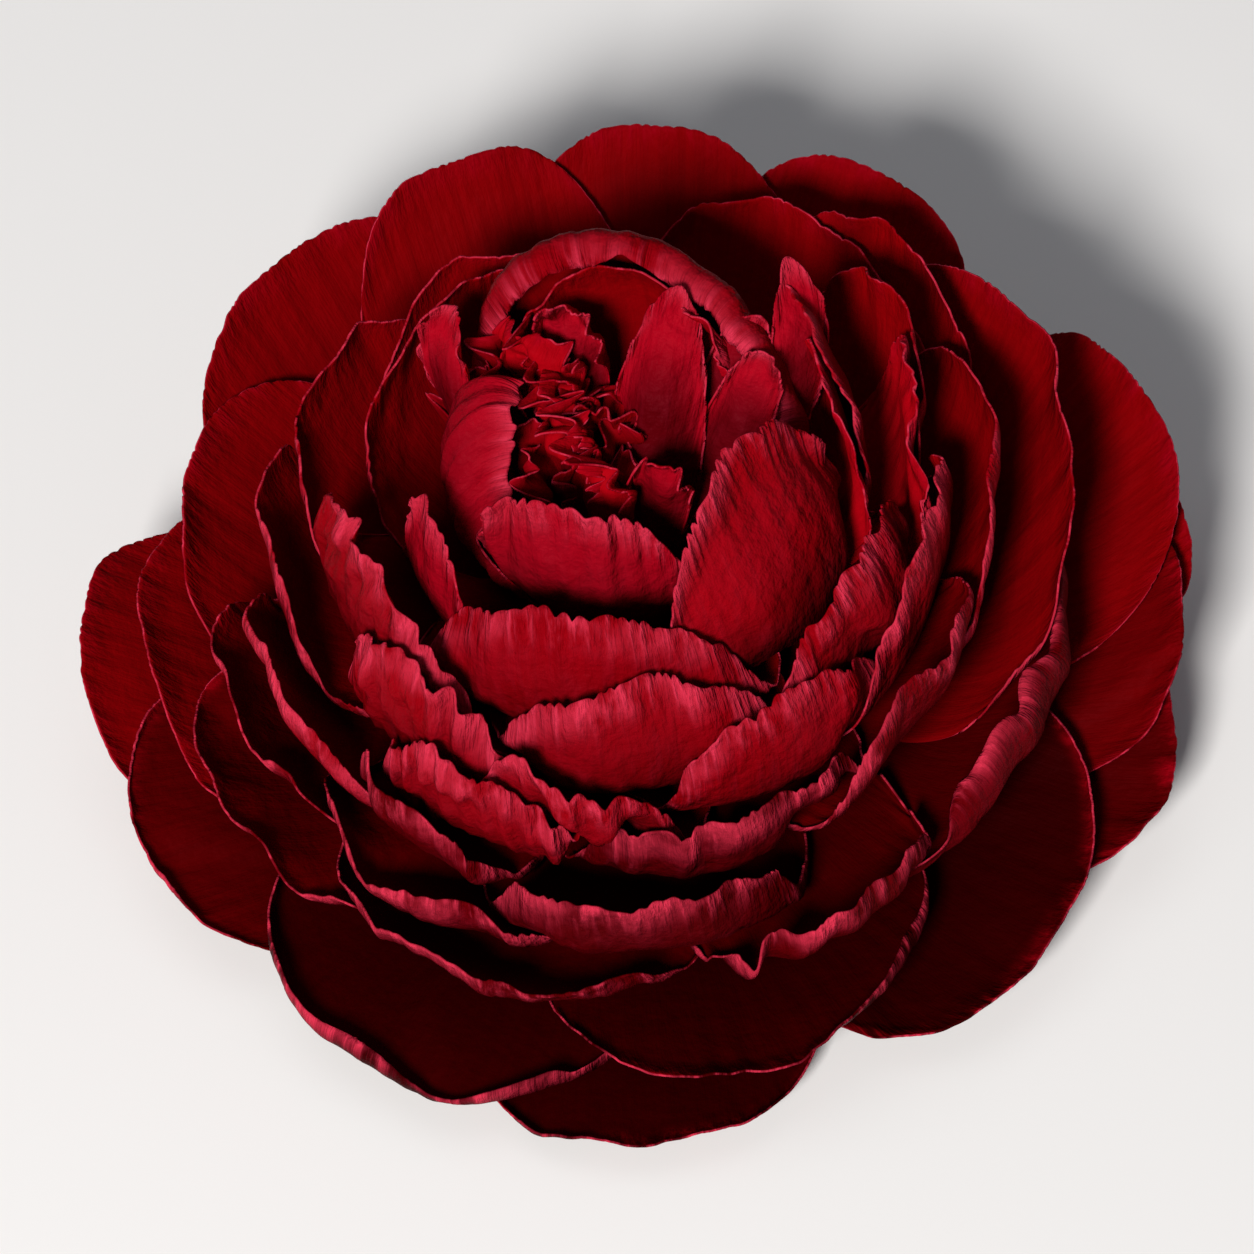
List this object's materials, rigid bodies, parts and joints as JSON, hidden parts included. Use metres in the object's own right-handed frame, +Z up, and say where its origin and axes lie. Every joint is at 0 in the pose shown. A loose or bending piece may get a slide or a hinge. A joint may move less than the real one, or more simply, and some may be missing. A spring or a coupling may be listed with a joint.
{
  "type": "peony bloom",
  "caption": "Double peony bloom cut just under its calyx and resting face up, with broad spreading outer petals around a dense ball of cupped, crinkled inner petals.",
  "frame": {"origin": "centre of the bloom's bounding box, on the surface that it rests on", "axes": "+Z up, out of the bloom's face; +X to the right across the widest spread of the outer petals, seen from the low front side; +Y towards the raised back of the bloom"},
  "size_m": [0.1498, 0.1378, 0.069],
  "materials": {
    "petal_guard": "satin",
    "petal_middle": "satin",
    "petal_ball": "satin",
    "petal_heart": "satin",
    "receptacle": "matte",
    "sepal": "satin"
  },
  "bodies": {
    "root": {"receptacle_and_stem": "receptacle", "sepal_1": "sepal", "sepal_2": "sepal", "sepal_3": "sepal", "guard_01": "petal_guard", "guard_02": "petal_guard", "guard_03": "petal_guard", "guard_04": "petal_guard", "guard_05": "petal_guard", "guard_06": "petal_guard", "guard_07": "petal_guard", "guard_08": "petal_guard", "guard_09": "petal_guard", "guard_10": "petal_guard", "guard_11": "petal_guard", "guard_12": "petal_guard", "guard_13": "petal_guard", "guard_14": "petal_guard", "guard_15": "petal_guard", "guard_16": "petal_guard", "guard_17": "petal_guard", "middle_01": "petal_middle", "middle_02": "petal_middle", "middle_03": "petal_middle", "middle_04": "petal_middle", "middle_05": "petal_middle", "middle_06": "petal_middle", "middle_07": "petal_middle", "middle_08": "petal_middle", "middle_09": "petal_middle", "middle_10": "petal_middle", "middle_11": "petal_middle", "middle_12": "petal_middle", "middle_13": "petal_middle", "middle_14": "petal_middle", "middle_15": "petal_middle", "middle_16": "petal_middle", "middle_17": "petal_middle", "ball_01": "petal_ball", "ball_02": "petal_ball", "ball_03": "petal_ball", "ball_04": "petal_ball", "ball_05": "petal_ball", "ball_06": "petal_ball", "ball_07": "petal_ball", "ball_08": "petal_ball", "ball_09": "petal_ball", "ball_10": "petal_ball", "ball_11": "petal_ball", "ball_12": "petal_ball", "ball_13": "petal_ball", "ball_14": "petal_ball", "ball_15": "petal_ball", "ball_16": "petal_ball", "heart_01": "petal_heart", "heart_02": "petal_heart", "heart_03": "petal_heart", "heart_04": "petal_heart", "heart_05": "petal_heart", "heart_06": "petal_heart"}
  },
  "joints": []
}
